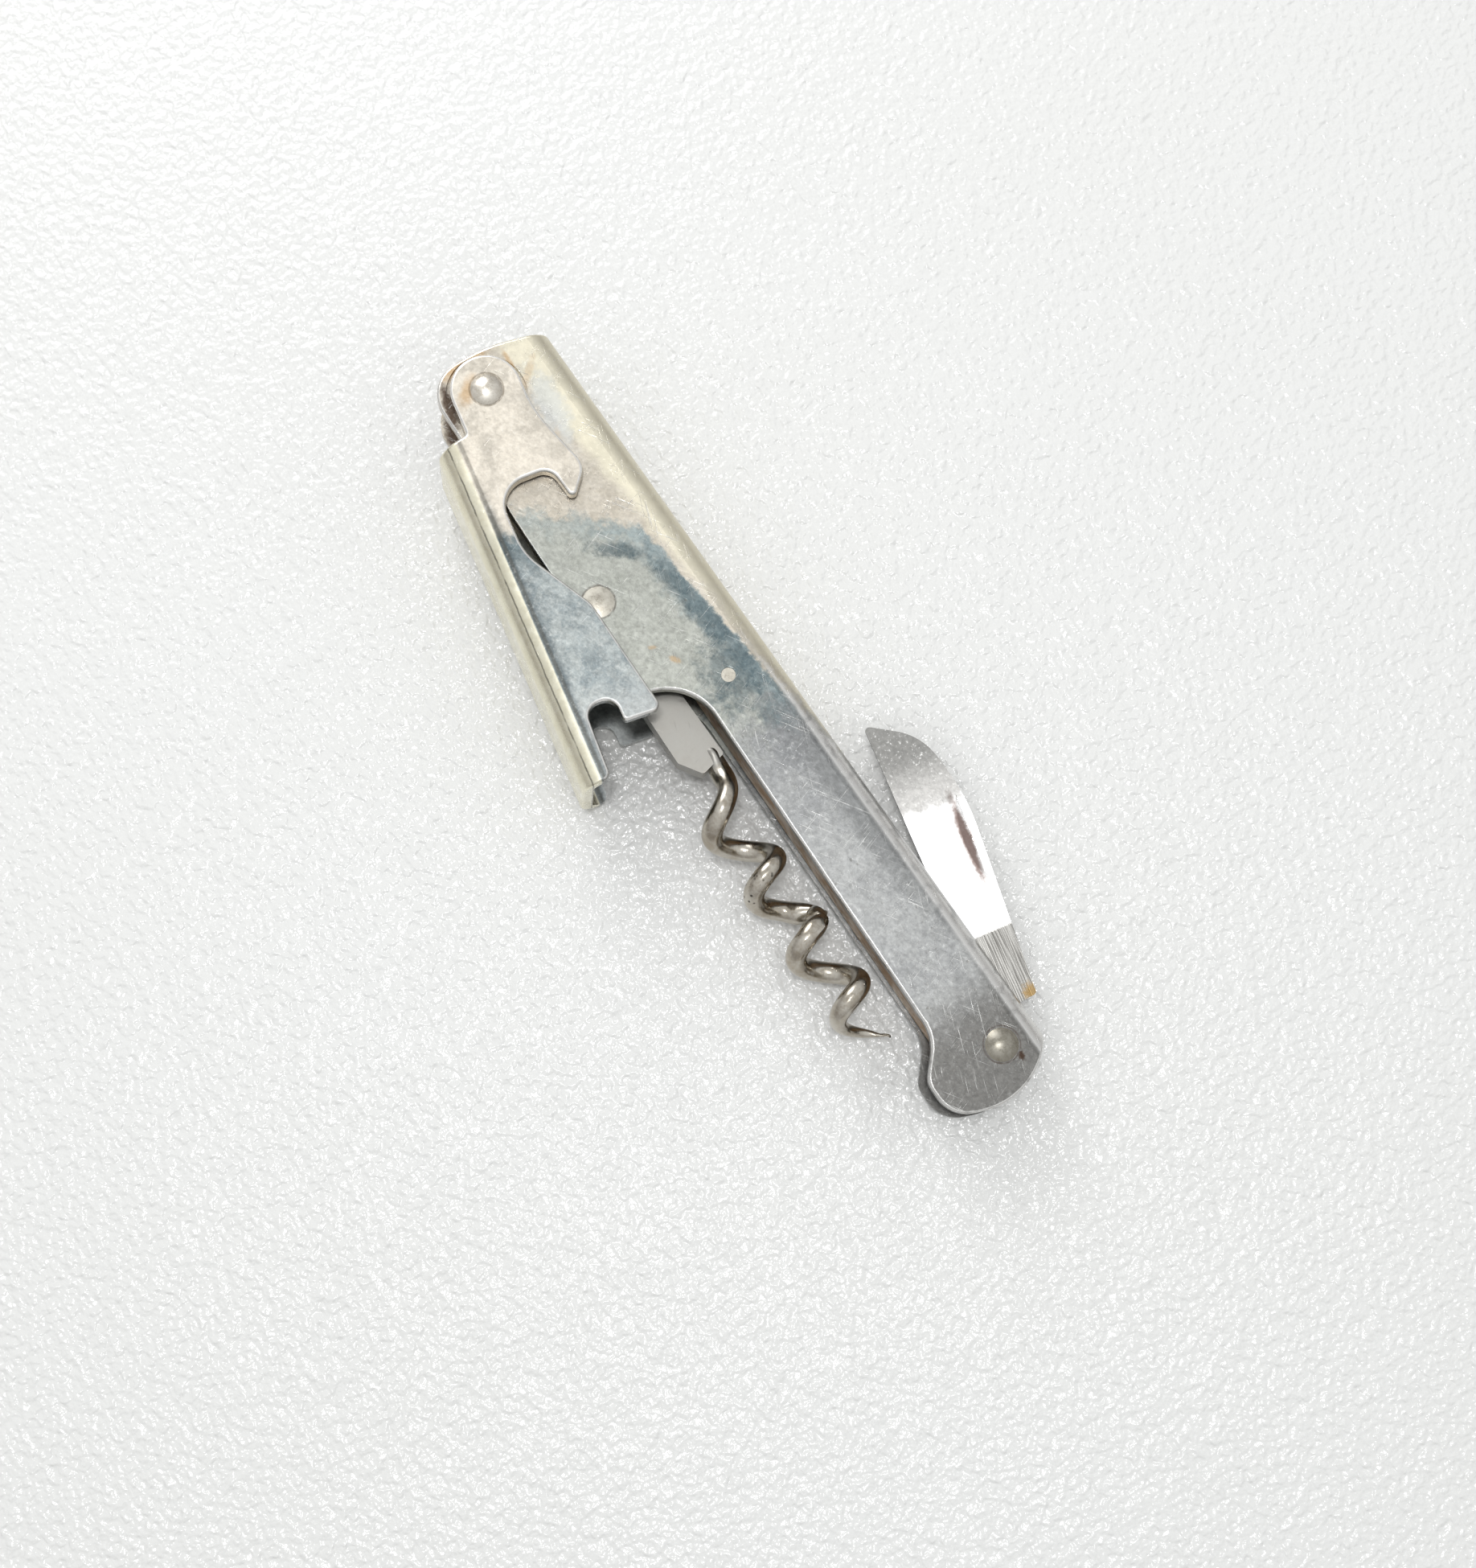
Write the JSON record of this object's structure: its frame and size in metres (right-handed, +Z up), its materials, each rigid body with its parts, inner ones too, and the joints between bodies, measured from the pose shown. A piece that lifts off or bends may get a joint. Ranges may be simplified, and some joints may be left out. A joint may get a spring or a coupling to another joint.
{
  "type": "lever corkscrew",
  "caption": "Folding all-metal lever corkscrew: channel handle, straddling lever with cap lifter and rim foot, wire worm on a flat tang, and a folding foil blade.",
  "frame": {"origin": "middle of the folded tool's footprint, on the plane that the lever's far cheek lies on", "axes": "+X along the handle from the lever's pivot towards the knife's pivot, +Y towards the handle's closed spine, +Z up, square to the plates; the tool lies on its side and every pivot runs along Z"},
  "size_m": [0.1144, 0.0408, 0.0158],
  "materials": {
    "nickel_handle": "worn nickel plate on folded steel sheet",
    "nickel_lever": "worn nickel plate on folded steel sheet",
    "nickel_rivet": "nickel plated, domed or flush",
    "steel_tube": "plain steel",
    "nickel_worm": "nickel plated wire, slightly brown",
    "brass_washer": "plain brass",
    "blade_steel": "polished blade with a brushed ricasso",
    "spring_steel": "oiled spring steel with light rust"
  },
  "bodies": {
    "handle": {"handle_shell": "nickel_handle", "lever_rivet": "nickel_rivet", "lever_spacer": "steel_tube", "worm_rivet": "nickel_rivet", "worm_washer_near": "brass_washer", "worm_washer_far": "brass_washer", "knife_rivet": "nickel_rivet", "knife_washer_near": "brass_washer", "knife_washer_far": "brass_washer", "back_spring": "spring_steel", "spring_pin": "nickel_rivet"},
    "lever": {"lever": "nickel_lever"},
    "worm": {"worm": "nickel_worm"},
    "knife": {"knife_blade": "blade_steel"}
  },
  "joints": [
    {"name": "lever_pivot", "type": "hinge", "parent": "handle", "child": "lever", "pos_m": [-0.05176, -0.00237, 0.0075], "axis": [0, 0, -1], "range_deg": [0, 175]},
    {"name": "worm_pivot", "type": "hinge", "parent": "handle", "child": "worm", "pos_m": [-0.02236, -0.00537, 0.0075], "axis": [0, 0, -1], "range_deg": [0, 90]},
    {"name": "knife_pivot", "type": "hinge", "parent": "handle", "child": "knife", "pos_m": [0.05104, 0.00533, 0.0075], "axis": [0, 0, -1], "range_deg": [-13, 167]}
  ],
  "couplings": [
    {"joint": "worm_pivot", "follows": "lever_pivot", "ratio": 0.5142}
  ]
}
